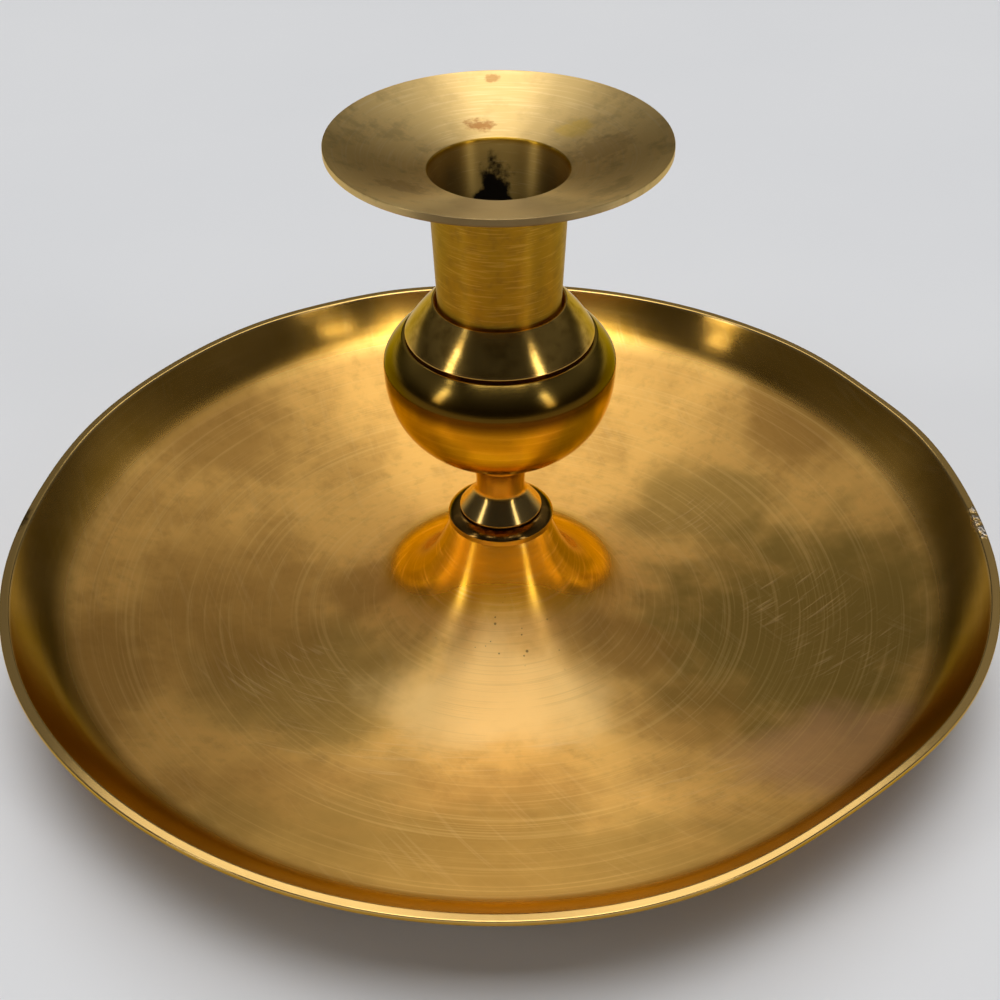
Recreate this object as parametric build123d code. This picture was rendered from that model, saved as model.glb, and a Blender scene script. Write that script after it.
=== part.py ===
from build123d import *
import os
from math import cos, exp, hypot, radians, sin, sqrt

# Brass chamberstick: a wide dish that sweeps up into a trumpet at its middle, a stem and
# knop bolted down on the trumpet, and a nozzle with a drip pan that lifts out of the knop.
# Lengths are in millimetres. Z is up, and the origin is the middle of the resting plane.

# Dish: one casting turned all over, with its trumpet, on a low foot ring
dish_radius = 86.2
dish_height = 21.0
dish_wall = 1.8
rim_width = 1.45
rim_edge_height = 0.9
rim_rounding = 0.25
crease_radius = 76.8
crease_rise = 10.2
crease_rounding = 4.0
floor_low_radius = 33.0
wall_curve_radius = 40.0
foot_ring_radius = 50.0
foot_ring_width = 3.2
foot_ring_height = 1.4
foot_ring_rounding = 0.4

# Trumpet of the dish: a short steep cone on a swell that dies away over the floor, hollow below
trumpet_top_radius = 8.3
trumpet_cone_radius = 10.0
trumpet_swell = 13.25
trumpet_fade = 6.2
trumpet_plate = 3.0

# Spigots that centre the stack, and the play that turned brass fits leave
spigot_radius = 5.0
spigot_height = 0.8
fit_clearance = 0.1

# Collar: a ring with a rounded shoulder and an upright lip
collar_radius = 9.2
collar_height = 2.1
collar_lip_height = 1.05
collar_top_radius = 7.3
collar_shoulder_radius = 2.6
collar_lip_rounding = 0.2

# Stem: a conical foot, a waisted neck and a bead under the knop
stem_height = 13.0
foot_radius = 7.15
foot_edge_height = 0.35
foot_undercut = 0.3
foot_undercut_height = 0.2
foot_cone_height = 4.25
foot_cone_top_radius = 4.25
foot_cone_rounding = 0.8
neck_height = 9.9
neck_top_radius = 5.0
neck_curve_radius = 12.0
bead_radius = 5.4
bead_height = 1.3
bead_rounding = 0.35
stem_spigot_radius = 3.9
stem_spigot_height = 1.2

# Knop: a hollow bowl, full below and drawn in above its widest ring, with a cap let in
knop_radius = 19.1
knop_lower_depth = 17.7
knop_upper_depth = 10.85
knop_lower_fullness = 2.38
knop_upper_fullness = 1.7
knop_wall = 1.9
knop_seat_radius = 5.4
knop_floor = 3.0
knop_mouth_radius = 15.9
knop_edge_rounding = 0.2

# Cap: closes the knop, parted from it by a fine groove, and bored to hold the nozzle
cap_height = 6.35
cap_edge_radius = 15.4
cap_edge_height = 0.15
cap_curve_radius = 30.0
cap_lip_width = 0.4
groove_height = 0.45
groove_depth = 0.5
cap_spigot_radius = 14.0
cap_spigot_depth = 3.0
cap_ledge_radius = 8.0
socket_depth = 6.95

# Nozzle: a tapering socket tube with a closed foot and a funnel-shaped drip pan
nozzle_foot_radius = 10.0
nozzle_top_radius = 10.9
nozzle_clearance = 0.45
nozzle_foot_chamfer = 0.4
nozzle_floor = 1.5
candle_mouth_radius = 11.0
candle_bore_radius = 9.1
candle_bore_length = 13.0
candle_taper_length = 15.0
candle_throat_radius = 10.0
candle_mouth_bevel = 1.1
candle_mouth_rounding = 0.6
drip_pan_radius = 26.35
drip_pan_rise = 4.8
drip_pan_edge = 1.3
drip_pan_curve_radius = 60.0
drip_pan_rounding = 0.3
drip_pan_neck_rounding = 4.5

# Tie bolt with its washer and nut: clamps dish, collar, stem and knop bowl together
bolt_radius = 2.5
bolt_clearance = 0.25
bolt_head_radius = 4.4
bolt_head_height = 3.0
bolt_slot_width = 1.2
bolt_slot_depth = 1.2
bolt_tail = 1.2
bolt_edge = 0.3
washer_radius = 5.5
washer_thickness = 1.0
nut_across_flats = 8.0
nut_height = 4.0
thread_clearance = 0.05

# Spare length that carries a cut clear of the faces it cuts
overrun = 1.0

# The floor's trough is an arc through its lowest ring and the crease
dish_floor_height = foot_ring_height + dish_wall
crease_run = crease_radius - floor_low_radius
floor_curve_radius = (crease_run ** 2 + crease_rise ** 2) / (2 * crease_rise)


def floor_top(radius):
    """The height of the floor's upper face, with the trumpet's swell on it, and how steeply it climbs."""
    run = radius - floor_low_radius
    drop = sqrt(floor_curve_radius ** 2 - run ** 2)
    swell = trumpet_swell * exp((trumpet_cone_radius - radius) / trumpet_fade)
    height = dish_floor_height + floor_curve_radius - drop + swell
    return height, run / drop - swell / trumpet_fade


def floor_under(radius):
    """The point a wall's thickness below the upper face, square to it."""
    height, climb = floor_top(radius)
    square = hypot(1, climb)
    return (radius + dish_wall * climb / square, height - dish_wall / square)


def under_height(radius):
    """The height of the underside at a radius."""
    lean = floor_under(radius)[0] - radius
    return floor_under(radius - lean)[1]


# Levels worked out from the sizes above, from the resting plane upwards
cone_base, cone_climb = floor_top(trumpet_cone_radius)
trumpet_height = cone_base + cone_climb * (trumpet_top_radius - trumpet_cone_radius)
collar_base = trumpet_height
stem_base = collar_base + collar_height
knop_base = stem_base + stem_height


class HalfOutline:
    """The half section of a turned piece, drawn from point to point as (radius, height)."""

    def __init__(self, *start):
        self.start = start
        self.here = start
        self.edges = []

    def line(self, *there):
        """A straight run."""
        self.edges.append(Line(self.here, there))
        self.here = there

    def bow(self, there, radius):
        """An arc that swells to the left of the way it runs, or to the right if radius is below zero."""
        self.edges.append(RadiusArc(self.here, there, radius))
        self.here = there

    def about(self, centre, there):
        """The short arc round a centre."""
        radius = hypot(there[0] - centre[0], there[1] - centre[1])
        lean = [self.here[i] + there[i] - 2 * centre[i] for i in (0, 1)]
        reach = radius / hypot(*lean)
        middle = (centre[0] + lean[0] * reach, centre[1] + lean[1] * reach)
        self.edges.append(ThreePointArc(self.here, middle, there))
        self.here = there

    def curve(self, points):
        """One smooth curve through all the points."""
        self.edges.append(Spline([self.here, *points]))
        self.here = points[-1]

    def face(self):
        """The closed outline as a flat face."""
        self.line(*self.start)
        return make_face(self.edges)


def rounded(face, radius, *corners):
    """The face with the corners nearest to the given points rounded off."""
    for corner in corners:
        face = fillet(face.vertices().sort_by_distance(corner)[0], radius)
    return face


def turned(face):
    """The solid that a half section sweeps when it is spun about the upright axis."""
    return revolve(Plane.XZ * face, Axis.Z)


def oval_reach(across, full_across, full_reach, fullness):
    """How far an oval still reaches one way, where it is given how far it has come the other way."""
    return full_reach * (1 - (across / full_across) ** fullness) ** (1 / fullness)


def oval_quarter(full_radius, full_depth, fullness, end_radius, steps=7):
    """Points as (radius, distance from the widest ring), the last of them at end_radius."""
    end_depth = oval_reach(end_radius, full_radius, full_depth, fullness)
    points = []
    for step in range(1, steps):
        depth = end_depth * sin(radians(90 * step / steps)) ** (2 / fullness)
        points.append((oval_reach(depth, full_depth, full_radius, fullness), depth))
    return points + [(end_radius, end_depth)]


def dish():
    """The dish with its rim, creased floor, trumpet and foot ring."""
    flare_radii = [trumpet_cone_radius + trumpet_fade * share / 3 for share in range(12)]
    floor_edge = flare_radii[-1]
    floor_radii = [floor_edge + (crease_radius - floor_edge) * share / 5 for share in range(1, 6)]
    ring_inner = foot_ring_radius - foot_ring_width
    above = [(radius, floor_top(radius)[0]) for radius in flare_radii + floor_radii]
    under_wall = [floor_under(radius) for radius in floor_radii if radius > foot_ring_radius]
    under_middle = [floor_under(radius) for radius in flare_radii + floor_radii[:1]]

    plate_under = trumpet_height - trumpet_plate
    under_cone = under_middle[0]
    plate_under_radius = under_cone[0] + (plate_under - under_cone[1]) / cone_climb
    bore = bolt_radius + bolt_clearance
    crease = above[-1]
    under_crease = under_wall[-1]
    rim_inner = (dish_radius - rim_width, dish_height)

    half = HalfOutline(bore, trumpet_height + spigot_height)
    half.line(spigot_radius, trumpet_height + spigot_height)
    half.line(spigot_radius, trumpet_height)
    half.line(trumpet_top_radius, trumpet_height)
    half.line(*above[0])
    half.curve(above[1:])
    half.bow(rim_inner, -wall_curve_radius)
    half.line(dish_radius, dish_height)
    half.line(dish_radius, dish_height - rim_edge_height)
    half.bow(under_crease, wall_curve_radius + dish_wall)
    half.curve([*under_wall[-2::-1], (foot_ring_radius, under_height(foot_ring_radius))])
    half.line(foot_ring_radius, 0)
    half.line(ring_inner, 0)
    half.line(ring_inner, under_height(ring_inner))
    half.curve(under_middle[::-1])
    half.line(plate_under_radius, plate_under)
    half.line(bore, plate_under)
    face = half.face()
    face = rounded(face, crease_rounding, crease)
    face = rounded(face, crease_rounding + dish_wall, under_crease)
    face = rounded(face, rim_rounding, rim_inner, (dish_radius, dish_height))
    face = rounded(face, rim_rounding, (dish_radius, dish_height - rim_edge_height))
    face = rounded(face, foot_ring_rounding, (foot_ring_radius, 0), (ring_inner, 0))
    return turned(face)


def collar():
    """The ring between the trumpet and the stem's foot."""
    bore = spigot_radius + fit_clearance
    half = HalfOutline(bore, collar_base)
    half.line(collar_radius, collar_base)
    half.line(collar_radius, collar_base + collar_lip_height)
    half.bow((collar_top_radius, stem_base), -collar_shoulder_radius)
    half.line(bore, stem_base)
    face = rounded(half.face(), collar_lip_rounding, (collar_radius, collar_base))
    return turned(face)


def stem():
    """Foot, neck and bead in one turning, bored for the tie bolt."""
    bore = bolt_radius + bolt_clearance
    edge_base = stem_base + foot_undercut_height
    cone_top = (foot_cone_top_radius, stem_base + foot_cone_height)
    neck_top = (neck_top_radius, stem_base + neck_height)
    bead_top = neck_top[1] + bead_height

    half = HalfOutline(bore, stem_base - spigot_height)
    half.line(spigot_radius, stem_base - spigot_height)
    half.line(spigot_radius, stem_base)
    half.line(foot_radius - foot_undercut, stem_base)
    half.line(foot_radius - foot_undercut, edge_base)
    half.line(foot_radius, edge_base)
    half.line(foot_radius, edge_base + foot_edge_height)
    half.line(*cone_top)
    half.bow(neck_top, neck_curve_radius)
    half.line(bead_radius, neck_top[1])
    half.line(bead_radius, bead_top)
    half.line(neck_top_radius, bead_top)
    half.line(neck_top_radius, knop_base)
    half.line(stem_spigot_radius, knop_base)
    half.line(stem_spigot_radius, knop_base + stem_spigot_height)
    half.line(bore, knop_base + stem_spigot_height)
    face = rounded(half.face(), foot_cone_rounding, cone_top)
    face = rounded(face, bead_rounding, (bead_radius, neck_top[1]), (bead_radius, bead_top))
    return turned(face)


# The knop's widest ring, the plane where bowl and cap meet, and the levels that follow from them
knop_lower_reach = oval_reach(knop_seat_radius, knop_radius, knop_lower_depth, knop_lower_fullness)
knop_upper_reach = oval_reach(knop_mouth_radius, knop_radius, knop_upper_depth, knop_upper_fullness)
knop_equator = knop_base + knop_lower_reach
seam_height = knop_equator + knop_upper_reach
cap_top = seam_height + cap_height
nozzle_base = cap_top - socket_depth
knop_floor_top = knop_base + knop_floor


def knop_oval(inset, lower_end_radius, upper_end_radius):
    """Points up the side of the knop, or of its hollow where inset is the wall's thickness."""
    full_radius = knop_radius - inset
    lower = oval_quarter(full_radius, knop_lower_depth - inset, knop_lower_fullness, lower_end_radius)
    upper = oval_quarter(full_radius, knop_upper_depth - inset, knop_upper_fullness, upper_end_radius)
    below = [(radius, knop_equator - depth) for radius, depth in reversed(lower)]
    above = [(radius, knop_equator + depth) for radius, depth in upper]
    return [*below, (full_radius, knop_equator), *above]


def knop_bowl():
    """The hollow bowl of the knop, seated on the stem's spigot."""
    bore = bolt_radius + bolt_clearance
    recess = stem_spigot_radius + fit_clearance
    recess_top = knop_base + stem_spigot_height + fit_clearance
    mouth_bore = cap_spigot_radius + fit_clearance
    floor_drop = knop_equator - knop_floor_top
    hollow_depth = knop_lower_depth - knop_wall
    floor_radius = oval_reach(floor_drop, hollow_depth, knop_radius - knop_wall, knop_lower_fullness)
    outside = knop_oval(0, knop_seat_radius, knop_mouth_radius)
    inside = knop_oval(knop_wall, floor_radius, mouth_bore)

    half = HalfOutline(recess, recess_top)
    half.line(recess, knop_base)
    half.line(*outside[0])
    half.curve(outside[1:])
    half.line(mouth_bore, seam_height)
    half.line(*inside[-1])
    half.curve(inside[-2::-1])
    half.line(bore, knop_floor_top)
    half.line(bore, recess_top)
    face = rounded(half.face(), knop_edge_rounding, (knop_mouth_radius, seam_height))
    return turned(face)


def knop_cap():
    """The cap of the knop, with the groove under its edge and the stepped socket for the nozzle."""
    socket = nozzle_foot_radius + nozzle_clearance
    groove_top = seam_height + groove_height
    groove_radius = cap_edge_radius - groove_depth

    half = HalfOutline(cap_ledge_radius, nozzle_base)
    half.line(socket, nozzle_base)
    half.line(socket, cap_top)
    half.line(socket + cap_lip_width, cap_top)
    half.bow((cap_edge_radius, groove_top + cap_edge_height), -cap_curve_radius)
    half.line(cap_edge_radius, groove_top)
    half.line(groove_radius, groove_top)
    half.line(groove_radius, seam_height)
    half.line(cap_spigot_radius, seam_height)
    half.line(cap_spigot_radius, seam_height - cap_spigot_depth)
    half.line(cap_ledge_radius, seam_height - cap_spigot_depth)
    return turned(half.face())


def nozzle():
    """The candle socket with its drip pan, standing on the cap's ledge."""
    bore_floor = nozzle_base + nozzle_floor
    taper_base = bore_floor + candle_bore_length
    mouth = taper_base + candle_taper_length
    rim = mouth + drip_pan_rise
    rim_top = (drip_pan_radius, rim)
    rim_under = (drip_pan_radius, rim - drip_pan_edge)
    neck = (nozzle_top_radius, mouth - drip_pan_edge)
    throat = (candle_throat_radius, mouth - candle_mouth_bevel)

    half = HalfOutline(0, nozzle_base)
    half.line(nozzle_foot_radius - nozzle_foot_chamfer, nozzle_base)
    half.line(nozzle_foot_radius, nozzle_base + nozzle_foot_chamfer)
    half.line(nozzle_foot_radius, cap_top)
    half.line(*neck)
    half.line(*rim_under)
    half.line(*rim_top)
    half.bow((candle_mouth_radius, mouth), -drip_pan_curve_radius)
    half.line(*throat)
    half.line(candle_bore_radius, taper_base)
    half.line(candle_bore_radius, bore_floor)
    half.line(0, bore_floor)
    face = rounded(half.face(), drip_pan_neck_rounding, neck)
    face = rounded(face, drip_pan_rounding, rim_top, rim_under)
    face = rounded(face, candle_mouth_rounding, (candle_mouth_radius, mouth), throat)
    return turned(face)


def bolt_washer():
    """The flat washer inside the trumpet."""
    base = trumpet_height - trumpet_plate - washer_thickness
    half = HalfOutline(bolt_radius + bolt_clearance, base)
    half.line(washer_radius, base)
    half.line(washer_radius, base + washer_thickness)
    half.line(bolt_radius + bolt_clearance, base + washer_thickness)
    return turned(half.face())


def bolt_nut():
    """The hexagon nut, its corners turned off to a cone at both ends."""
    base = trumpet_height - trumpet_plate - washer_thickness - nut_height
    corner = nut_across_flats / 2 / cos(radians(30))
    hexagon = Pos(0, 0, base) * extrude(RegularPolygon(corner, 6), nut_height)
    half = HalfOutline(bolt_radius + thread_clearance, base)
    half.line(nut_across_flats / 2, base)
    half.line(corner, base + bolt_edge)
    half.line(corner, base + nut_height - bolt_edge)
    half.line(nut_across_flats / 2, base + nut_height)
    half.line(bolt_radius + thread_clearance, base + nut_height)
    return hexagon & turned(half.face())


def tie_bolt():
    """The bolt with a slotted cheese head that stands on the knop bowl's floor."""
    tail = trumpet_height - trumpet_plate - washer_thickness - nut_height - bolt_tail
    head_top = knop_floor_top + bolt_head_height
    half = HalfOutline(0, tail)
    half.line(bolt_radius - bolt_edge, tail)
    half.line(bolt_radius, tail + bolt_edge)
    half.line(bolt_radius, knop_floor_top)
    half.line(bolt_head_radius, knop_floor_top)
    half.line(bolt_head_radius, head_top - bolt_edge)
    half.line(bolt_head_radius - bolt_edge, head_top)
    half.line(0, head_top)
    slot_length = (bolt_head_radius + overrun) * 2
    slot_height = bolt_slot_depth + overrun
    slot_middle = head_top - bolt_slot_depth + slot_height / 2
    return turned(half.face()) - Pos(0, 0, slot_middle) * Box(slot_length, bolt_slot_width, slot_height)


pieces = {
    "dish": dish,
    "collar": collar,
    "stem": stem,
    "knop_bowl": knop_bowl,
    "knop_cap": knop_cap,
    "nozzle": nozzle,
    "tie_bolt": tie_bolt,
    "bolt_washer": bolt_washer,
    "bolt_nut": bolt_nut,
}

os.makedirs("parts", exist_ok=True)
for name, make in pieces.items():
    export_step(make(), "parts/" + name + ".step")
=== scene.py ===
import bpy
import bmesh
from math import atan2, ceil, cos, exp, hypot, pi, radians, sin, sqrt
from mathutils import Matrix, Vector


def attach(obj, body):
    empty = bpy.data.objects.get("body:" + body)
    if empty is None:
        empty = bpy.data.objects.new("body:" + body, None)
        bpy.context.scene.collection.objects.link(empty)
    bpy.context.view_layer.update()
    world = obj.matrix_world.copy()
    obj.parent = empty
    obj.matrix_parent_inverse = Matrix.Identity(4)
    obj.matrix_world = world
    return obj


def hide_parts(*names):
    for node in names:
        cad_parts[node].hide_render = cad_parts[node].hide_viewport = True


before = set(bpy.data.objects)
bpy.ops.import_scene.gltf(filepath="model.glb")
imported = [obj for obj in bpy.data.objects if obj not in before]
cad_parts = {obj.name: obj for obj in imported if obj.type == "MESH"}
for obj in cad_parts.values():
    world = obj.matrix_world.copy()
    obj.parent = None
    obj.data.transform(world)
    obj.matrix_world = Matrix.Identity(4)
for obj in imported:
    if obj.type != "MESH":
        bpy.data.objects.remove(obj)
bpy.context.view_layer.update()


# The dish: one heavy brass casting, turned all over on a lathe, trumpet and foot ring included.
# Its rim has been knocked out of round, and years of polish and wiping have left brown and
# olive patches, fine rings from the tool and crossing arcs of scratches on the floor.

mm = 0.001

dish_radius = 86.15
dish_height = 21.0
dish_wall = 1.8
dish_floor = 3.2
rim_flat = 1.45
rim_edge = 0.9
crease_radius = 76.8
crease_rise = 10.2
wall_curve = 40.0
floor_low_radius = 33.0
trumpet_top_radius = 8.3
trumpet_cone_radius = 10.0
trumpet_swell = 13.25
trumpet_fade = 6.2
trumpet_plate = 3.0
foot_ring_radius = 50.0
foot_ring_width = 3.2
spigot_radius = 5.0
spigot_height = 0.8
bolt_bore = 2.75
sound_radius = 62.0
knock_curve = 1.6


class HalfOutline:
    """Half the section of a turned piece, in millimetres, run from its top down the outside."""

    def __init__(self, *start):
        self.points = [start]
        self.corners = []

    def run(self, along, length, step, soft):
        """Points along a run, closer together where the step is small, and a soft corner after it."""
        steps = max(1, ceil(length / step))
        self.points += [along(i / steps) for i in range(1, steps + 1)]
        if soft:
            self.corners.append((len(self.points) - 1, soft))

    def line(self, radius, height, soft=0, step=1.0):
        """A straight run."""
        r, z = self.points[-1]
        self.run(lambda t: (r + (radius - r) * t, z + (height - z) * t), hypot(radius - r, height - z), step, soft)

    def about(self, centre, radius, height, soft=0, step=0.7):
        """The short arc round a centre."""
        r, z = self.points[-1]
        reach = hypot(r - centre[0], z - centre[1])
        first = atan2(z - centre[1], r - centre[0])
        turn = (atan2(height - centre[1], radius - centre[0]) - first + pi) % (2 * pi) - pi
        swing = lambda t: (centre[0] + reach * cos(first + turn * t), centre[1] + reach * sin(first + turn * t))
        self.run(swing, reach * abs(turn), step, soft)

    def bow(self, radius, height, curve, soft=0, step=0.7):
        """A shallow arc that swells to the left of its run, or to the right where curve is negative."""
        r, z = self.points[-1]
        chord = hypot(radius - r, height - z)
        lift = sqrt(curve ** 2 - chord ** 2 / 4) * (1 if curve > 0 else -1)
        middle = ((r + radius) / 2 + (height - z) / chord * lift, (z + height) / 2 - (radius - r) / chord * lift)
        self.about(middle, radius, height, soft, step)

    def along_corner(self, corner, reach, way):
        """The point that lies reach away from a corner, measured along the outline."""
        here, i = self.points[corner], corner
        while True:
            i = (i + way) % len(self.points)
            there = self.points[i]
            gap = hypot(there[0] - here[0], there[1] - here[1])
            if gap > reach:
                share = reach / gap
                return i, (here[0] + (there[0] - here[0]) * share, here[1] + (there[1] - here[1]) * share)
            reach -= gap
            here = there

    def softened(self):
        """All the points, with each soft corner rounded off by a short curve."""
        arc_steps = 8
        lead_in = 1.4
        count = len(self.points)
        swaps = {}
        dropped = set()
        for corner, reach in self.corners:
            tip = self.points[corner]
            start = self.along_corner(corner, reach, -1)[1]
            end = self.along_corner(corner, reach, 1)[1]
            before, lead = self.along_corner(corner, reach * lead_in, -1)
            after, trail = self.along_corner(corner, reach * lead_in, 1)
            arc = [lead]
            for i in range(arc_steps + 1):
                t = i / arc_steps
                ends = zip(start, tip, end)
                arc.append(tuple((1 - t) ** 2 * a + 2 * t * (1 - t) * b + t * t * c for a, b, c in ends))
            arc.append(trail)
            swaps[corner] = arc
            i = (before + 1) % count
            while i != after:
                dropped.add(i)
                i = (i + 1) % count
        points = []
        for i, point in enumerate(self.points):
            if i in swaps:
                points += swaps[i]
            elif i not in dropped:
                points.append(point)
        return points


class Wire:
    """A value on its way through a tree of nodes. Sums on it add Math nodes, node() adds any other."""

    def __init__(self, tree, socket=None):
        self.tree = tree
        self.socket = socket

    def node(self, kind, sockets=None, output=0, **settings):
        """One more node: its settings come first, then its sockets get their values or wires."""
        new = self.tree.nodes.new(kind)
        for name, value in settings.items():
            setattr(new, name, value)
        for name, value in (sockets or {}).items():
            if isinstance(value, Wire):
                self.tree.links.new(value.socket, new.inputs[name])
            else:
                new.inputs[name].default_value = value
        return Wire(self.tree, new.outputs[output])

    def maths(self, operation, *values):
        return self.node("ShaderNodeMath", dict(enumerate(values)), operation=operation)

    def __add__(self, other):
        return self.maths("ADD", self, other)

    def __radd__(self, other):
        return self.maths("ADD", other, self)

    def __sub__(self, other):
        return self.maths("SUBTRACT", self, other)

    def __rsub__(self, other):
        return self.maths("SUBTRACT", other, self)

    def __mul__(self, other):
        return self.maths("MULTIPLY", self, other)

    def __truediv__(self, other):
        return self.maths("DIVIDE", self, other)

    def __pow__(self, other):
        return self.maths("POWER", self, other)

    def most(self, other):
        """The larger of two values."""
        return self.maths("MAXIMUM", self, other)

    def vector(self, operation, *values, output="Vector"):
        return self.node("ShaderNodeVectorMath", dict(enumerate(values)), output, operation=operation)

    def scaled(self, share):
        """A vector made longer or shorter."""
        return self.node("ShaderNodeVectorMath", {0: self, "Scale": share}, operation="SCALE")

    def flat(self):
        """A vector without its height."""
        return self.vector("MULTIPLY", self, (1.0, 1.0, 0.0))

    def length(self):
        """How long a vector is."""
        return self.vector("LENGTH", self, output="Value")

    def off_axis(self):
        """How far a place is from the axis, and the way that it lies from it."""
        across = self.flat()
        return across.length(), across.vector("NORMALIZE", across)

    def part(self, letter):
        """The x, y or z of a vector."""
        return self.node("ShaderNodeSeparateXYZ", {"Vector": self}, letter)

    def fade(self, start, end):
        """0 up to start, 1 from end on, and a smooth rise between them, or the other way round."""
        first, last = (0.0, 1.0) if start < end else (1.0, 0.0)
        sockets = {"Value": self, "From Min": min(start, end), "From Max": max(start, end)}
        sockets.update({"To Min": first, "To Max": last})
        return self.node("ShaderNodeMapRange", sockets, interpolation_type="SMOOTHSTEP")

    def mixed(self, colour, share):
        """This colour going over to another one."""
        return blend(share, self, colour)


def blend(share, colour, other):
    """The one colour where the share is 0, the other where it is 1."""
    colour, other = (side if isinstance(side, Wire) else (*side, 1) for side in (colour, other))
    # The node has its sockets three times over, and these numbers are the ones for colours
    return share.node("ShaderNodeMix", {0: share, 6: colour, 7: other}, 2, data_type="RGBA")


def new_tree(name, inputs):
    """An empty Geometry Nodes tree with named inputs, and the wires that come from them."""
    tree = bpy.data.node_groups.new(name, "GeometryNodeTree")
    for label, kind in inputs:
        tree.interface.new_socket(label, in_out="INPUT", socket_type="NodeSocket" + kind)
    tree.interface.new_socket("Piece", in_out="OUTPUT", socket_type="NodeSocketGeometry")
    start = tree.nodes.new("NodeGroupInput")
    return tree, Wire(tree), {label: Wire(tree, start.outputs[label]) for label, _ in inputs}


def end_tree(tree, shape, finish):
    """Closes a tree: real geometry, one finish."""
    real = shape.node("GeometryNodeRealizeInstances", {"Geometry": shape})
    dressed = real.node("GeometryNodeSetMaterial", {"Geometry": real, "Material": finish})
    end = tree.nodes.new("NodeGroupOutput")
    tree.links.new(dressed.socket, end.inputs["Piece"])


def set_inputs(modifier, values):
    """Sets a tree's named inputs on the modifier that runs it."""
    for socket in modifier.node_group.interface.items_tree:
        if socket.in_out == "INPUT" and socket.name in values:
            modifier[socket.identifier] = values[socket.name]


# The lathe: carries an outline round the upright axis
lathe, wire, given = new_tree("lathe", [
    ("Outline", "Geometry"),
    ("Stops round", "Int"),
    ("Spindle radius", "Float"),
    ("Finish", "Material"),
])
section = wire.node("GeometryNodeMeshToCurve", {"Mesh": given["Outline"]})
round_sizes = {"Resolution": given["Stops round"], "Radius": given["Spindle radius"]}
ring = wire.node("GeometryNodeCurvePrimitiveCircle", round_sizes, mode="RADIUS")
ring = wire.node("GeometryNodeSetCurveNormal", {"Curve": ring}, mode="Z_UP")
spun = wire.node("GeometryNodeCurveToMesh", {"Curve": ring, "Profile Curve": section})
spun = wire.node("GeometryNodeMergeByDistance", {"Geometry": spun, "Distance": 0.002 * mm})
spun = wire.node("GeometryNodeSetShadeSmooth", {"Geometry": spun})
end_tree(lathe, spun, given["Finish"])

# The knock: pushes the rim in over a stretch of its round, or lets it out where depth is negative
knock, wire, given = new_tree("rim_knock", [
    ("Dish", "Geometry"),
    ("Depth", "Float"),
    ("Bearing", "Float"),
    ("Width", "Float"),
    ("Sound inside radius", "Float"),
    ("Rim radius", "Float"),
    ("Finish", "Material"),
])
radius, outwards = wire.node("GeometryNodeInputPosition").off_axis()
bearing_cosine = wire.maths("COSINE", given["Bearing"])
bearing_sine = wire.maths("SINE", given["Bearing"])
towards = wire.node("ShaderNodeCombineXYZ", {"X": bearing_cosine, "Y": bearing_sine})
in_line = outwards.vector("DOT_PRODUCT", outwards, towards, output="Value")
turned_from = wire.maths("ARCCOSINE", wire.maths("MINIMUM", in_line, 1.0))
round_share = wire.maths("EXPONENT", 0 - (turned_from / given["Width"]) ** 2)
reach_out = radius - given["Sound inside radius"]
reach_out = reach_out / (given["Rim radius"] - given["Sound inside radius"])
reach_share = reach_out.most(0.0) ** knock_curve
push = 0 - given["Depth"] * round_share * reach_share
knocked = wire.node("GeometryNodeSetPosition", {"Geometry": given["Dish"], "Offset": outwards.scaled(push)})
end_tree(knock, knocked, given["Finish"])


def turned(name, outline, finish, stops=160, closed=True, knocks=()):
    """A finished piece: its outline spun on the lathe, with its knocks, as a plain mesh."""
    # The circle that carries the outline needs some radius, which the outline is moved in by
    spindle = 1.0
    points = outline.softened()
    mesh = bpy.data.meshes.new(name + "_outline")
    edges = [(i, i + 1) for i in range(len(points) - 1)] + ([(len(points) - 1, 0)] if closed else [])
    mesh.from_pydata([((r - spindle) * mm, -z * mm, 0) for r, z in points], edges, [])
    piece = bpy.data.objects.new(name, mesh)
    bpy.context.scene.collection.objects.link(piece)
    modifier = piece.modifiers.new("lathe", "NODES")
    modifier.node_group = lathe
    set_inputs(modifier, {"Stops round": stops, "Spindle radius": spindle * mm, "Finish": finish})
    for bearing, depth, width in knocks:
        modifier = piece.modifiers.new("knock", "NODES")
        modifier.node_group = knock
        set_inputs(modifier, {
            "Depth": depth * mm,
            "Bearing": radians(bearing),
            "Width": radians(width),
            "Sound inside radius": sound_radius * mm,
            "Rim radius": dish_radius * mm,
            "Finish": finish,
        })
    spun_mesh = bpy.data.meshes.new_from_object(piece.evaluated_get(bpy.context.evaluated_depsgraph_get()))
    piece.modifiers.clear()
    piece.data = spun_mesh
    bpy.data.meshes.remove(mesh)
    spun_mesh.name = name
    work = bmesh.new()
    work.from_mesh(spun_mesh)
    bmesh.ops.recalc_face_normals(work, faces=work.faces)
    work.to_mesh(spun_mesh)
    work.free()
    return piece


# Brass off the lathe. Lengths in the finish are millimetres, measured on the piece itself.
clean_brass = (0.84, 0.49, 0.13)
brown_brass = (0.42, 0.22, 0.05)
olive_brass = (0.31, 0.20, 0.045)
pink_brass = (0.62, 0.34, 0.15)
dirt = (0.05, 0.03, 0.012)

# A patch that reaches this far up and down takes in all of a piece
any_height = 60.0


def new_finish(name):
    """An empty finish, and the place on the piece in millimetres."""
    material = bpy.data.materials.new(name)
    material.use_nodes = True
    material.node_tree.nodes.clear()
    wire = Wire(material.node_tree)
    return material, wire.node("ShaderNodeTexCoord", output="Object").scaled(1 / mm)


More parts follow.
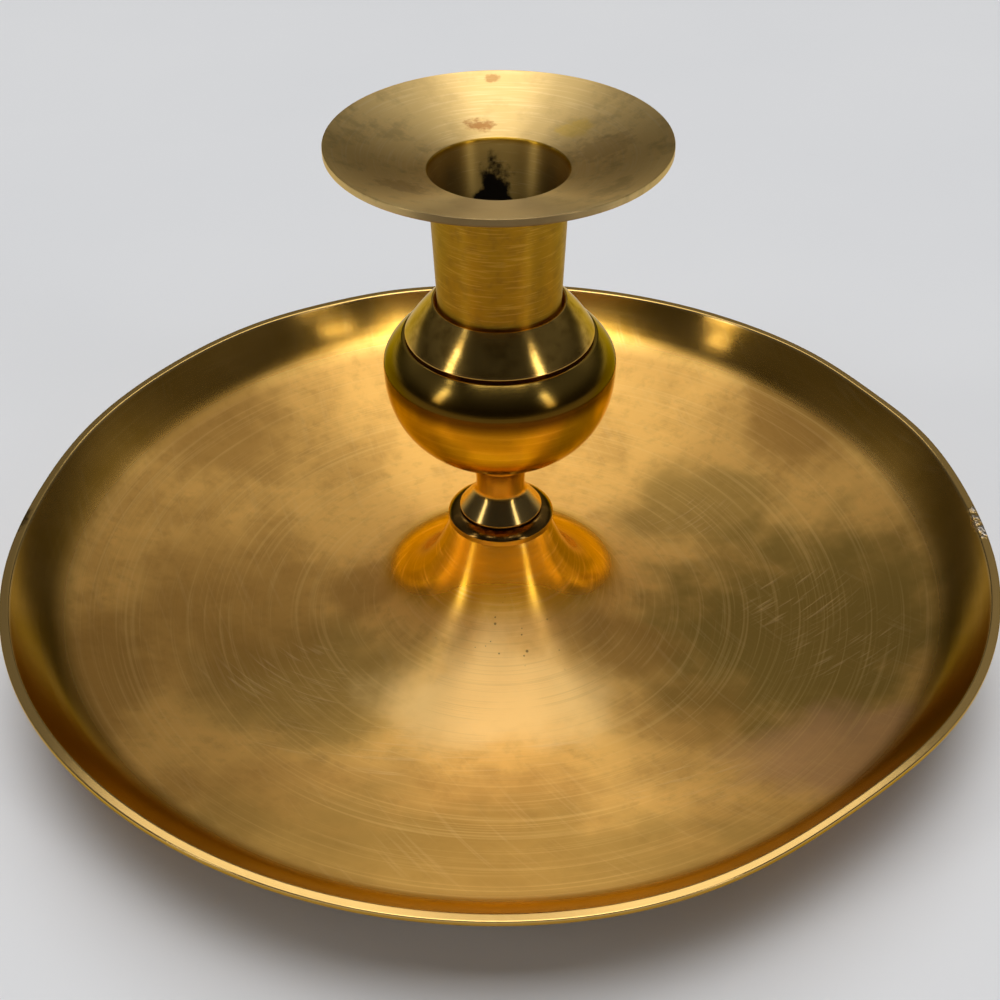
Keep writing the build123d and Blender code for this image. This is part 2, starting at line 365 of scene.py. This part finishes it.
def cloudy(place, size, detail=3.0, roughness=0.55, at=(0.0, 0.0, 0.0)):
    """Soft clouds of a given size, about 0.5 in the middle."""
    moved = place.vector("ADD", place, at)
    sockets = {"Vector": moved, "Scale": 1 / size, "Detail": detail, "Roughness": roughness}
    return place.node("ShaderNodeTexNoise", sockets)


def tool_rings(place, pitch, length):
    """The fine rings that a turning tool leaves, each broken up over some length at 20 mm off the axis."""
    radius, outwards = place.off_axis()
    swept = outwards.scaled(20 / length)
    swept = swept.vector("ADD", swept, place.node("ShaderNodeCombineXYZ", {"Z": radius / pitch}))
    sockets = {"Vector": swept, "W": place.part("Z") / pitch, "Scale": 1.0, "Detail": 2.0, "Roughness": 0.6}
    return place.node("ShaderNodeTexNoise", sockets, noise_dimensions="4D")


def patch_at(place, centre, reach, ragged=0.35, grain=2.0):
    """1 in the middle of a patch with ragged edges, 0 outside it."""
    from_centre = place.vector("DIVIDE", place.vector("SUBTRACT", place, centre), reach)
    # The clouds are moved along with the centre, so that no two patches have the same edge
    wander = cloudy(place, grain, at=(centre[0] * 3, 7.0, 1.0)) - 0.5
    return (from_centre.length() + wander * ragged * 2).fade(1.0, 0.45)


def wiped_arcs(place, centre, reach, about, spacing, length):
    """Scratches side by side along arcs about a point, inside a soft patch."""
    across = place.vector("SUBTRACT", place, (*about, 0.0)).flat()
    turn = across.maths("ARCTAN2", across.part("Y"), across.part("X"))
    pivot_reach = hypot(about[0] - centre[0], about[1] - centre[1])
    grid = place.node("ShaderNodeCombineXYZ", {"X": across.length() / spacing, "Y": turn * (pivot_reach / length)})
    lines = place.node("ShaderNodeTexNoise", {"Vector": grid, "Scale": 1.0, "Detail": 1.5, "Roughness": 0.6})
    return lines.fade(0.54, 0.70) * patch_at(place, (*centre, 3.0), (*reach, any_height), 0.5, 9.0)


def dots(place, number, edge, core):
    """Small round pits, a number of them for each millimetre across."""
    cells = place.node("ShaderNodeTexVoronoi", {"Vector": place, "Scale": number, "Randomness": 1.0})
    return cells.fade(edge, core)


def brass(material, colour, roughness, height, lean=0.0, metal=1.0, edge=(1.0, 0.80, 0.35)):
    """Closes a finish: the colour, roughness and relief of each layer on one metal shader."""
    quarter_turn = 0.25
    wire = Wire(material.node_tree)
    bump = wire.node("ShaderNodeBump", {"Strength": 1.0, "Distance": mm, "Height": height})
    shader = wire.node("ShaderNodeBsdfPrincipled", {
        "Base Color": colour,
        "Metallic": metal,
        "Roughness": roughness,
        "Anisotropic": lean,
        "Anisotropic Rotation": quarter_turn,
        "Specular Tint": (*edge, 1),
        "Normal": bump,
    })
    end = material.node_tree.nodes.new("ShaderNodeOutputMaterial")
    material.node_tree.links.new(shader.socket, end.inputs["Surface"])


dish_finish, place = new_finish("satin_brass_dish")
radius, outwards = place.off_axis()
rings = tool_rings(place, 0.55, 14.0)
fine_rings = tool_rings(place, 0.22, 30.0)
mottle = cloudy(place, 3.2, 4.0, 0.65)
clouds = cloudy(place, 17.0, 4.0, 0.6, (11.0, 3.0, 0.0))
wisps = wiped_arcs(place, (0.0, 0.0), (150.0, 150.0), (300.0, 140.0), 0.7, 22.0) * clouds.fade(0.40, 0.56)
on_wall = radius.fade(75.0, 80.0)
in_front = outwards.part("Y").fade(-0.30, -0.85)
off_trumpet = place.vector("DISTANCE", place.flat(), (0.0, 8.0, 0.0), output="Value")
polished = off_trumpet.fade(23.6, 18.0)
satin = (1 - polished * (1 - in_front * 0.36)) * radius.fade(79.5, 74.0)
colour = blend(mottle.fade(0.46, 0.74) * 0.28, clean_brass, brown_brass)
colour = colour.mixed(brown_brass, clouds.fade(0.46, 0.64) * 0.32)
tarnish = [
    ((54, -12), (36, 38), olive_brass, 0.95),
    ((40, 27), (20, 16), olive_brass, 0.6),
    ((-33, -22), (28, 22), olive_brass, 0.6),
    ((-22, -52), (44, 14), brown_brass, 0.5),
    ((-50, -2), (25, 30), brown_brass, 0.5),
    ((56, -46), (26, 15), pink_brass, 0.7),
    ((24, -14), (12, 9), brown_brass, 0.7),
    ((-24, 2), (11, 10), brown_brass, 0.6),
    ((-68, -30), (14, 26), brown_brass, 0.7),
    ((-58, 44), (22, 18), brown_brass, 0.65),
    ((62, 46), (17, 22), brown_brass, 0.75),
    ((2, -72), (62, 20), brown_brass, 0.45),
    ((-8, -68), (66, 22), olive_brass, 0.5),
    ((30, -30), (16, 12), brown_brass, 0.4),
]
for centre, reach, shade, share in tarnish:
    colour = colour.mixed(shade, patch_at(place, (*centre, 5.0), (*reach, any_height), 0.5, 12.0) * share)
# Painted highlight: a pool of pale gold on the floor in front of the trumpet, where the overhead light shines on
# it.
painted_highlight = patch_at(place, (0.0, -27.0, 4.0), (26.0, 15.0, any_height), 0.4, 9.0)
colour = colour.mixed((0.98, 0.66, 0.25), painted_highlight * 0.85)
colour = colour.mixed((0.42, 0.275, 0.02), polished * (0.85 + mottle * 0.15))
# Painted reflection: the front of the trumpet is painted bright orange, as the dish's gold mirrored in it.
colour = colour.mixed((0.96, 0.52, 0.04), polished * in_front * 0.85)
colour = colour.mixed((0.40, 0.21, 0.025), on_wall * (0.5 + clouds * 0.7))
colour = colour.mixed((0.56, 0.37, 0.13), place.part("Z").fade(20.5, 20.8) * radius.fade(80.0, 83.0) * 0.8)
arcs = [
    wiped_arcs(place, (-38.0, -22.0), (17.0, 12.0), (-19.0, 7.0), 0.6, 9.0),
    wiped_arcs(place, (-14.0, -38.0), (40.0, 9.0), (-5.0, 100.0), 0.6, 16.0),
    wiped_arcs(place, (53.0, -4.0), (14.0, 12.0), (7.0, 64.0), 0.55, 9.0),
    wiped_arcs(place, (60.0, -18.0), (13.0, 13.0), (20.0, 60.0), 0.55, 7.0),
    wiped_arcs(place, (31.0, -47.0), (15.0, 9.0), (12.0, 10.0), 0.6, 9.0),
    wiped_arcs(place, (37.0, 24.0), (10.0, 7.0), (0.0, 70.0), 0.55, 8.0),
]
scratched = arcs[0]
for arc in arcs[1:]:
    scratched = scratched.most(arc)
specks = dots(place, 0.22, 0.07, 0.035) * patch_at(place, (1.0, -19.0, 8.0), (13.0, 8.0, any_height)) * 0.9
pits = dots(place, 0.62, 0.13, 0.08) * patch_at(place, (0.0, -16.5, 7.0), (15.0, 5.5, any_height), 0.4, 3.0)
bright_rings = rings.fade(0.50, 0.70) * (1 - on_wall * 0.7)
brown_rings = fine_rings.fade(0.50, 0.34) * (1 - on_wall) * clouds.fade(0.42, 0.58)
colour = colour.mixed((0.92, 0.62, 0.22), bright_rings * (0.24 + polished * 0.15))
colour = colour.mixed(brown_brass, brown_rings * 0.16)
colour = colour.mixed((0.86, 0.60, 0.26), scratched * 0.30 + wisps * 0.10)
colour = colour.mixed(dirt, specks * 0.7 + pits * 0.7)
rim_stain = patch_at(place, (-86.3, 2.6, 20.5), (2.2, 5.0, 2.4), 0.6, 1.2)
colour = colour.mixed(dirt, rim_stain * 0.85)
solder = patch_at(place, (85.6, -0.2, 20.5), (2.0, 6.0, 2.6), 0.7, 1.2)
colour = colour.mixed((0.42, 0.40, 0.37), solder * mottle.fade(0.35, 0.5))
roughness = 0.085 + satin * 0.40 + on_wall * 0.05 + mottle * 0.03 + scratched * 0.04
height = (rings * 0.008 + fine_rings * 0.003) * (1 - on_wall * 0.7) + mottle * 0.004
height = height - specks * 0.05 - scratched * 0.012 + solder * mottle * 0.25
brass(dish_finish, colour, roughness, height, 0.94)

floor_swing = ((crease_radius - floor_low_radius) ** 2 + crease_rise ** 2) / (2 * crease_rise)


def floor_top(radius):
    """The height of the floor's upper side, with the trumpet's swell on it, and how steeply it climbs."""
    off = radius - floor_low_radius
    drop = sqrt(floor_swing ** 2 - off ** 2)
    swell = trumpet_swell * exp((trumpet_cone_radius - radius) / trumpet_fade)
    return dish_floor + floor_swing - drop + swell, off / drop - swell / trumpet_fade


def floor_under(radius):
    """The point of the underside a wall below the floor, square to it."""
    height, climb = floor_top(radius)
    return radius + dish_wall * climb / hypot(1, climb), height - dish_wall / hypot(1, climb)


def floor_point(radius):
    """The point of the floor's upper side at a radius."""
    return radius, floor_top(radius)[0]


cone_foot, cone_climb = floor_top(trumpet_cone_radius)
trumpet_top = cone_foot + cone_climb * (trumpet_top_radius - trumpet_cone_radius)
under_plate = trumpet_top - trumpet_plate
under_cone = floor_under(trumpet_cone_radius)
ring_inner = foot_ring_radius - foot_ring_width
floor_span = crease_radius - trumpet_cone_radius
ring_lean = floor_under(foot_ring_radius)[0] - foot_ring_radius

outline = HalfOutline(bolt_bore, trumpet_top + spigot_height)
outline.line(spigot_radius, trumpet_top + spigot_height, soft=0.15)
outline.line(spigot_radius, trumpet_top)
outline.line(trumpet_top_radius, trumpet_top, soft=0.12)
outline.line(trumpet_cone_radius, cone_foot)
outline.run(lambda t: floor_point(trumpet_cone_radius + floor_span * t), floor_span, 0.6, 3.4)
outline.bow(dish_radius - rim_flat, dish_height, -wall_curve, soft=0.22)
outline.line(dish_radius, dish_height, soft=0.22, step=0.5)
outline.line(dish_radius, dish_height - rim_edge, soft=0.22, step=0.3)
outline.bow(*floor_under(crease_radius), wall_curve + dish_wall, soft=2.8)
outer_span = crease_radius - foot_ring_radius + ring_lean
outline.run(lambda t: floor_under(crease_radius - outer_span * t), outer_span, 1.2, 0)
outline.line(foot_ring_radius, 0, soft=0.4)
outline.line(ring_inner, 0, soft=0.4)
inner_span = ring_inner - trumpet_cone_radius
outline.line(*floor_under(ring_inner))
outline.run(lambda t: floor_under(ring_inner - inner_span * t), inner_span, 0.8, 0)
outline.line(under_cone[0] + (under_plate - under_cone[1]) / cone_climb, under_plate)
outline.line(bolt_bore, under_plate)
rim_knocks = [
    (-52, 2.5, 17),
    (5, 0.8, 13),
    (30, 0.9, 9),
    (172, 0.8, 12),
    (125, -1.1, 14),
    (106, -0.7, 8),
    (208, -0.7, 18),
]
dish = turned("dish_brass", outline, dish_finish, 288, knocks=rim_knocks)
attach(dish, "base")
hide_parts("dish")


# The collar: a small brass ring with a rounded shoulder and an upright lip, turned on its own
# and clamped between the trumpet and the stem. Its shoulder is painted dark as shade, and its lip painted bright as
# a highlight.

collar_height = 2.1
collar_radius = 9.2
collar_top_radius = 7.3
collar_lip = 1.05
collar_bore = spigot_radius + 0.1
collar_base = trumpet_top
stem_base = collar_base + collar_height

collar_finish, place = new_finish("collar_brass_painted_light")
rings = tool_rings(place, 0.3, 20.0)
mottle = cloudy(place, 1.6)
# Painted light: the shoulder is painted dark as shade, and the lip below it bright as a highlight.
painted_lit_lip = place.part("Z").fade(collar_base + 1.15, collar_base + 0.95)
colour = blend(painted_lit_lip, (0.16, 0.085, 0.02), (0.46, 0.28, 0.04))
colour = colour.mixed(brown_brass, mottle.fade(0.45, 0.7) * 0.5)
brass(collar_finish, colour, 0.13 + mottle * 0.08, rings * 0.003 + mottle * 0.003, 0.7)

outline = HalfOutline(collar_bore, stem_base)
outline.line(collar_top_radius, stem_base, soft=0.15, step=0.5)
outline.bow(collar_radius, collar_base + collar_lip, 2.6, soft=0.12, step=0.2)
outline.line(collar_radius, collar_base, soft=0.15, step=0.3)
outline.line(collar_bore, collar_base)
collar = turned("collar_brass", outline, collar_finish)
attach(collar, "base")
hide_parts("collar")


# The stem: foot, waisted neck and bead turned from one piece of brass and polished. Its spigots
# centre it on the trumpet and in the knop, and the bolt through its bore clamps it.

stem_height = 13.0
knop_base = stem_base + stem_height

stem_finish, place = new_finish("polished_brass_stem")
rings = tool_rings(place, 0.3, 20.0)
mottle = cloudy(place, 1.8)
colour = blend(mottle.fade(0.48, 0.75) * 0.5, (0.50, 0.27, 0.03), brown_brass)
colour = colour.mixed((0.44, 0.29, 0.09), place.part("Z").fade(stem_base + 4.6, stem_base + 3.4))
brass(stem_finish, colour, 0.19 + mottle * 0.05, rings * 0.003 + mottle * 0.003, 0.7)

foot_radius = 7.15
foot_groove_radius = foot_radius - 0.3
foot_groove = 0.2
foot_edge = 0.55
cone_top = (4.25, stem_base + 4.25)
neck_top = (5.0, stem_base + 9.9)
neck_curve = 12.0
bead_radius = 5.4
bead_height = 1.3
top_spigot_radius = 3.9
top_spigot_height = 1.2
outline = HalfOutline(bolt_bore, knop_base + top_spigot_height)
outline.line(top_spigot_radius, knop_base + top_spigot_height)
outline.line(top_spigot_radius, knop_base)
outline.line(neck_top[0], knop_base)
outline.line(neck_top[0], neck_top[1] + bead_height, step=0.5)
outline.line(bead_radius, neck_top[1] + bead_height, soft=0.3)
outline.line(bead_radius, neck_top[1], soft=0.3, step=0.4)
outline.line(*neck_top)
outline.bow(*cone_top, -neck_curve, soft=0.7, step=0.3)
outline.line(foot_radius, stem_base + foot_edge, soft=0.1, step=0.4)
outline.line(foot_radius, stem_base + foot_groove, soft=0.08)
outline.line(foot_groove_radius, stem_base + foot_groove)
outline.line(foot_groove_radius, stem_base)
outline.line(spigot_radius, stem_base)
outline.line(spigot_radius, stem_base - spigot_height)
outline.line(bolt_bore, stem_base - spigot_height)
stem = turned("stem_brass", outline, stem_finish)
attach(stem, "base")
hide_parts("stem")


# The knop's bowl: a hollow ball of brass, fuller below its widest ring than above it, turned thin
# and polished. It stands on the stem's spigot, with the head of the bolt inside it.

knop_radius = 19.1
knop_wall = 1.9
knop_lower = (17.7, 2.38)
knop_upper = (10.85, 1.7)
knop_mouth = 15.9
knop_opening = 14.1
knop_foot_radius = 5.4
knop_floor = 3.0
knop_seat_radius = 4.0
knop_seat_depth = 1.3


def oval_reach(across, full_across, full_reach, fullness):
    """How far an oval still reaches one way, where it has come some way across the other."""
    return full_reach * (1 - (across / full_across) ** fullness) ** (1 / fullness)


knop_equator = knop_base + oval_reach(knop_foot_radius, knop_radius, *knop_lower)
seam = knop_equator + oval_reach(knop_mouth, knop_radius, *knop_upper)


def knop_side(inset, top_radius, foot_radius):
    """Points down the side of the knop, or of its hollow where inset is the wall."""
    stops = 36
    full = knop_radius - inset
    points = []
    halves = ((knop_upper, top_radius, 1), (knop_lower, foot_radius, -1))
    for (depth, fullness), end, way in halves:
        depth -= inset
        end_depth = oval_reach(end, full, depth, fullness)
        quarter = []
        for i in range(1, stops + 1):
            down = end_depth * sin(radians(90 * i / stops)) ** (2 / fullness)
            across = oval_reach(min(down, depth), depth, full, fullness) if i < stops else end
            quarter.append((across, knop_equator + way * down))
        points.append(quarter)
    return [*reversed(points[0]), (full, knop_equator), *points[1]]


knop_finish, place = new_finish("polished_brass_knop")
rings = tool_rings(place, 0.4, 30.0)
fine_rings = tool_rings(place, 0.16, 40.0)
mottle = cloudy(place, 2.4, 4.0, 0.6)
haze = cloudy(place, 9.0, 3.0, 0.55, (3.0, 1.0, 2.0))
level = place.part("Z")
colour = blend(mottle.fade(0.45, 0.75) * 0.3, (0.60, 0.375, 0.016), brown_brass)
colour = colour.mixed((0.98, 0.66, 0.10), rings.fade(0.50, 0.68) * 0.34)
# Painted shade: from just below the widest ring upward the knop is painted near black, where it would mirror the
# pale table; higher up it goes over to a darker olive, partly patina and partly painted shade.
colour = colour.mixed((0.085, 0.038, 0.005), level.fade(knop_equator - 3.6, knop_equator - 0.6) * 0.95)
colour = colour.mixed((0.36, 0.225, 0.045), level.fade(knop_equator + 1.4, knop_equator + 4.2) * (0.8 + haze * 0.2))
height = rings * 0.009 + fine_rings * 0.003 + mottle * 0.005
brass(knop_finish, colour, 0.155 + mottle * 0.05, height, 0.6)

outside = knop_side(0, knop_mouth, knop_foot_radius)
floor_drop = knop_equator - (knop_base + knop_floor)
floor_reach = oval_reach(floor_drop, knop_lower[0] - knop_wall, knop_radius - knop_wall, knop_lower[1])
inside = knop_side(knop_wall, knop_opening, floor_reach)
outline = HalfOutline(knop_opening, seam)
outline.line(*outside[0], soft=0.18)
outline.points += outside[1:]
outline.line(knop_seat_radius, knop_base)
outline.line(knop_seat_radius, knop_base + knop_seat_depth)
outline.line(bolt_bore, knop_base + knop_seat_depth)
outline.line(bolt_bore, knop_base + knop_floor)
outline.line(inside[-1][0], knop_base + knop_floor)
outline.points += inside[-2::-1]
knop_bowl = turned("knop_bowl_brass", outline, knop_finish, 192)
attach(knop_bowl, "base")
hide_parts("knop_bowl")


# The knop's cap: a turned brass ring let into the bowl by a spigot, with a fine groove where they
# meet. Its top is brown brass mottled darker, with its edges worn brighter, and it is bored for the nozzle's foot.

cap_height = 6.35
cap_radius = 15.4
cap_edge = 0.6
cap_curve = 30.0
groove_height = 0.45
groove_radius = 14.9
cap_spigot_radius = 14.0
cap_spigot_depth = 3.0
socket = 10.45
socket_bevel = 0.4
socket_depth = 6.95
ledge_radius = 8.0
cap_top = seam + cap_height
nozzle_base = cap_top - socket_depth

cap_finish, place = new_finish("dark_brass_cap")
rings = tool_rings(place, 0.3, 24.0)
mottle = cloudy(place, 2.0, 4.0, 0.6)
radius = place.flat().length()
worn_edge = radius.fade(15.15, 15.35).most(radius.fade(10.95, 10.75))
colour = blend(mottle.fade(0.40, 0.7) * 0.6, (0.56, 0.35, 0.08), (0.24, 0.125, 0.02))
colour = colour.mixed(clean_brass, worn_edge * 0.6)
brass(cap_finish, colour, 0.14 + mottle * 0.07, rings * 0.007 + mottle * 0.006, 0.6)

outline = HalfOutline(socket, cap_top)
outline.line(socket + socket_bevel, cap_top, soft=0.08)
outline.bow(cap_radius, seam + cap_edge, cap_curve, soft=0.06, step=0.3)
outline.line(cap_radius, seam + groove_height, soft=0.05)
outline.line(groove_radius, seam + groove_height)
outline.line(groove_radius, seam)
outline.line(cap_spigot_radius, seam)
outline.line(cap_spigot_radius, seam - cap_spigot_depth)
outline.line(ledge_radius, seam - cap_spigot_depth)
outline.line(ledge_radius, nozzle_base)
outline.line(socket, nozzle_base)
knop_cap = turned("knop_cap_brass", outline, cap_finish)
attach(knop_cap, "base")
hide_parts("knop_cap")


# The bolt with its washer and nut: plain steel, hidden in the stack and seen only from below,
# where the nut is drawn up inside the trumpet. It is dull and a little rusty.

steel_finish, place = new_finish("dull_steel")
mottle = cloudy(place, 1.2, 4.0, 0.65)
rust = cloudy(place, 2.6, 3.0, 0.6, (9.0, 0.0, 4.0)).fade(0.52, 0.66)
colour = blend(rust * 0.8, (0.30, 0.29, 0.27), (0.16, 0.07, 0.03))
roughness = 0.35 + mottle * 0.15 + rust * 0.3
brass(steel_finish, colour, roughness, (mottle + rust) * 0.02, metal=1 - rust * 0.7, edge=(1.0, 1.0, 1.0))
for node in ("tie_bolt", "bolt_washer", "bolt_nut"):
    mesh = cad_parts[node].data
    mesh.materials.clear()
    mesh.materials.append(steel_finish)


# The nozzle: candle tube and drip pan in one brass casting, turned all over. It only stands in the
# cap, and lifts out. Candle wax and flame have stained the pan brown; its near and far sides are painted darker as
# shade, and its bore gets darker towards the bottom.

nozzle_floor = 1.5
bore_radius = 9.1
bore_straight = 13.0
bore_depth = 28.0
mouth_radius = 11.0
tube_radius = 10.0
tube_top_radius = 10.9
foot_bevel = 0.4
pan_radius = 26.35
pan_wall = 1.3
pan_curve = 60.0
pan_rise = 4.8
bore_floor = nozzle_base + nozzle_floor
mouth = bore_floor + bore_depth
pan_rim = mouth + pan_rise

nozzle_finish, place = new_finish("satin_brass_nozzle")
radius, outwards = place.off_axis()
rings = tool_rings(place, 0.28, 9.0)
fine_rings = tool_rings(place, 0.14, 20.0)
mottle = cloudy(place, 2.2, 4.0, 0.6)
haze = cloudy(place, 12.0, 3.0, 0.55, (0.0, 7.0, 2.0))
level = place.part("Z")
in_pan = level.fade(mouth - 3.0, mouth - 1.5) * radius.fade(10.9, 11.1)
mid_wall = 9.55 + (level - cap_top) * 0.052
in_bore = (mid_wall - radius).fade(-0.06, 0.06) * level.fade(bore_floor - 0.3, bore_floor - 0.1)
colour = blend(mottle.fade(0.40, 0.72) * 0.5, (0.46, 0.25, 0.015), (0.29, 0.155, 0.02))
colour = colour.mixed((0.80, 0.50, 0.08), rings.fade(0.50, 0.68) * 0.35)
colour = colour.mixed((0.94, 0.67, 0.27), in_pan * (0.8 + haze * 0.2))
# Painted shade: the far side of the pan is darkened.
colour = colour.mixed((0.50, 0.34, 0.13), in_pan * outwards.part("Y").fade(0.45, 0.95) * 0.7)
colour = colour.mixed((0.92, 0.74, 0.42), in_pan * rings.fade(0.50, 0.68) * 0.25)
wax_film = cloudy(place, 5.0, 4.0, 0.65, (3.0, 0.0, 0.0)).fade(0.48, 0.68)
colour = colour.mixed((0.50, 0.34, 0.13), in_pan * wax_film * 0.5)
# Painted shade: the near side of the pan is darkened.
colour = colour.mixed((0.22, 0.15, 0.065), in_pan * outwards.part("Y").fade(-0.72, -0.97) * 0.9)
stains = [
    ((-2.9, 14.0), (2.8, 1.9), 0.8),
    ((-1.0, 24.6), (1.5, 1.0), 0.6),
    ((-14.0, -9.0), (5.0, 3.0), 0.3),
    ((16.0, 4.0), (6.0, 5.0), 0.25),
]
for centre, reach, share in stains:
    stain = patch_at(place, (*centre, mouth + 3.0), (*reach, 12.0), 0.8, 1.3)
    colour = colour.mixed((0.30, 0.12, 0.03), in_pan * stain * share)
yellow_stain = patch_at(place, (12.0, 11.1, mouth + 2.0), (3.6, 3.0, 12.0), 0.6, 1.5)
colour = colour.mixed((0.80, 0.52, 0.08), in_pan * yellow_stain * 0.5)
colour = colour.mixed((0.50, 0.33, 0.09), in_bore)
colour = colour.mixed((0.80, 0.58, 0.24), in_bore * rings.fade(0.54, 0.70) * 0.3)
# The bore gets darker towards its bottom, with one dark patch on its far side.
darker_down_bore = patch_at(place, (-0.8, 9.8, mouth - 11.0), (3.6, 6.0, 9.0), 0.6, 2.0)
darker_down_bore = darker_down_bore + level.fade(mouth - 7.0, mouth - 14.0)
colour = colour.mixed((0.012, 0.009, 0.006), in_bore * darker_down_bore.fade(0.0, 1.0))
strokes = wiped_arcs(place, (0.0, 0.0), (60.0, 60.0), (-120.0, 60.0), 0.7, 8.0) * in_pan
colour = colour.mixed((0.90, 0.72, 0.42), strokes * 0.25)
roughness = 0.33 + mottle * 0.06 + in_pan * 0.03 + in_bore * 0.12
height = rings * 0.007 + fine_rings * 0.003 + mottle * 0.006 - strokes * 0.008
brass(nozzle_finish, colour, roughness, height, 0.93, edge=(1.0, 0.86, 0.55))

outline = HalfOutline(0, bore_floor)
outline.line(bore_radius, bore_floor)
outline.line(bore_radius, bore_floor + bore_straight)
outline.line(10.45, mouth - 2.0)
outline.line(10.75, mouth - 0.3, soft=0.15, step=0.3)
outline.line(mouth_radius, mouth, soft=0.15, step=0.2)
outline.bow(pan_radius, pan_rim, -pan_curve, soft=0.28, step=0.5)
outline.line(pan_radius, pan_rim - pan_wall, soft=0.28, step=0.3)
outline.line(tube_top_radius, mouth - pan_wall, soft=2.6)
outline.line(tube_radius, cap_top, step=0.8)
outline.line(tube_radius, nozzle_base + foot_bevel)
outline.line(tube_radius - foot_bevel, nozzle_base)
outline.line(0, nozzle_base)
nozzle = turned("nozzle_brass", outline, nozzle_finish, 192, closed=False)
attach(nozzle, "nozzle")
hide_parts("nozzle")


# The table: a plain pale board under a soft studio light. Two panels hang overhead, two tall strips
# and two small round lamps stand at the front left and right, and far off all goes over to pale.

floor_mesh = bpy.data.meshes.new("table")
work = bmesh.new()
bmesh.ops.create_circle(work, cap_ends=True, segments=96, radius=6.0)
work.to_mesh(floor_mesh)
work.free()
table = bpy.data.objects.new("table", floor_mesh)
bpy.context.scene.collection.objects.link(table)
table_finish = bpy.data.materials.new("pale_board")
table_finish.use_nodes = True
table_finish.node_tree.nodes.clear()
wire = Wire(table_finish.node_tree)
camera_ray = wire.node("ShaderNodeLightPath", output="Is Camera Ray")
place = wire.node("ShaderNodeTexCoord", output="Object")
clouds = wire.node("ShaderNodeTexNoise", {"Vector": place, "Scale": 9.0, "Detail": 4.0})
colour = blend(clouds, (0.74, 0.75, 0.77), (0.80, 0.805, 0.815))
board = wire.node("ShaderNodeBsdfPrincipled", {"Base Color": colour, "Roughness": 0.85})
haze = wire.node("ShaderNodeEmission", {"Color": (0.68, 0.68, 0.70, 1), "Strength": 1.0})
far = place.length().fade(0.5, 1.8) * camera_ray
board = wire.node("ShaderNodeMixShader", {0: far, 1: board, 2: haze})
end = table_finish.node_tree.nodes.new("ShaderNodeOutputMaterial")
table_finish.node_tree.links.new(board.socket, end.inputs["Surface"])
floor_mesh.materials.append(table_finish)


def lamp(name, shape, size, place, towards, radiance):
    """A flat lamp of some brightness that faces a point."""
    light = bpy.data.lights.new(name, "AREA")
    light.shape = shape
    light.size = size[0]
    area = size[0] ** 2 * pi / 4
    if shape == "RECTANGLE":
        light.size_y = size[1]
        area = size[0] * size[1]
    light.energy = radiance * pi * area
    holder = bpy.data.objects.new(name, light)
    bpy.context.scene.collection.objects.link(holder)
    aim = (Vector(towards) - Vector(place)).to_track_quat("-Z", "Y").to_matrix().to_4x4()
    holder.matrix_world = Matrix.Translation(place) @ aim
    holder.visible_camera = False


strip_stand = 3.6
strip_level = 2.1
spot_reach = 4.2
lamp("overhead", "RECTANGLE", (2.8, 5.1), (0.0, 1.05, 3.75), (0.0, 1.05, 0.0), 1.85)
lamp("top_panel", "RECTANGLE", (2.2, 1.8), (0.0, -0.55, 3.7), (0.0, -0.55, 0.0), 3.3)
for bearing, name in ((-62, "left_strip"), (49, "right_strip")):
    way = radians(bearing)
    spot = (strip_stand * sin(way), -strip_stand * cos(way), strip_level)
    lamp(name, "RECTANGLE", (0.5, 2.3), spot, (0.0, 0.0, strip_level), 4.8)
for bearing, rise, name in ((58, 60, "right_spot"), (-71, 51, "left_spot")):
    way = radians(bearing)
    level = spot_reach * cos(radians(rise))
    spot = (level * sin(way), -level * cos(way), spot_reach * sin(radians(rise)))
    lamp(name, "DISK", (0.34, 0), spot, (0.0, 0.0, 0.0), 5.0)

world = bpy.data.worlds.new("room")
bpy.context.scene.world = world
world.use_nodes = True
world.node_tree.nodes.clear()
wire = Wire(world.node_tree)
way = wire.node("ShaderNodeTexCoord", output="Generated")
rise = way.part("Z")
back = way.part("Y").fade(0.1, 0.6)
right = way.part("X").fade(-0.4, 0.4)
aside = way.part("X").maths("ABSOLUTE", way.part("X")).fade(0.45, 0.8) * rise.fade(0.15, 0.5)
shade = 0.045 + rise.fade(0.25, 0.66) * back * (0.17 + right * 0.10) + aside * 0.07
camera_ray = wire.node("ShaderNodeLightPath", output="Is Camera Ray")
seen = camera_ray.most(wire.node("ShaderNodeLightPath", output="Is Transmission Ray"))
glossy_ray = wire.node("ShaderNodeLightPath", output="Is Glossy Ray")
mirrored = glossy_ray * back * rise.fade(0.14, 0.05)
pale = (seen * rise.fade(0.42, 0.30)).most(mirrored)
shade = shade + pale * (0.68 - shade)
tone = wire.node("ShaderNodeCombineXYZ", {"X": shade, "Y": shade, "Z": shade * 1.03})
sky = wire.node("ShaderNodeBackground", {"Color": tone, "Strength": 1.0})
end = world.node_tree.nodes.new("ShaderNodeOutputWorld")
world.node_tree.links.new(sky.socket, end.inputs["Surface"])

eye = (-0.000125, -0.2177, 0.1921233)
looks_down = 37.29
leans = 0.384
view = bpy.data.cameras.new("camera")
view.lens = 56.095
view.sensor_width = 36.0
view.clip_start = 0.01
camera = bpy.data.objects.new("camera", view)
bpy.context.scene.collection.objects.link(camera)
camera.matrix_world = (
    Matrix.Translation(eye)
    @ Matrix.Rotation(radians(90 - looks_down), 4, "X")
    @ Matrix.Rotation(radians(-leans), 4, "Z")
)
bpy.context.scene.camera = camera
bpy.context.scene.view_settings.view_transform = "Standard"
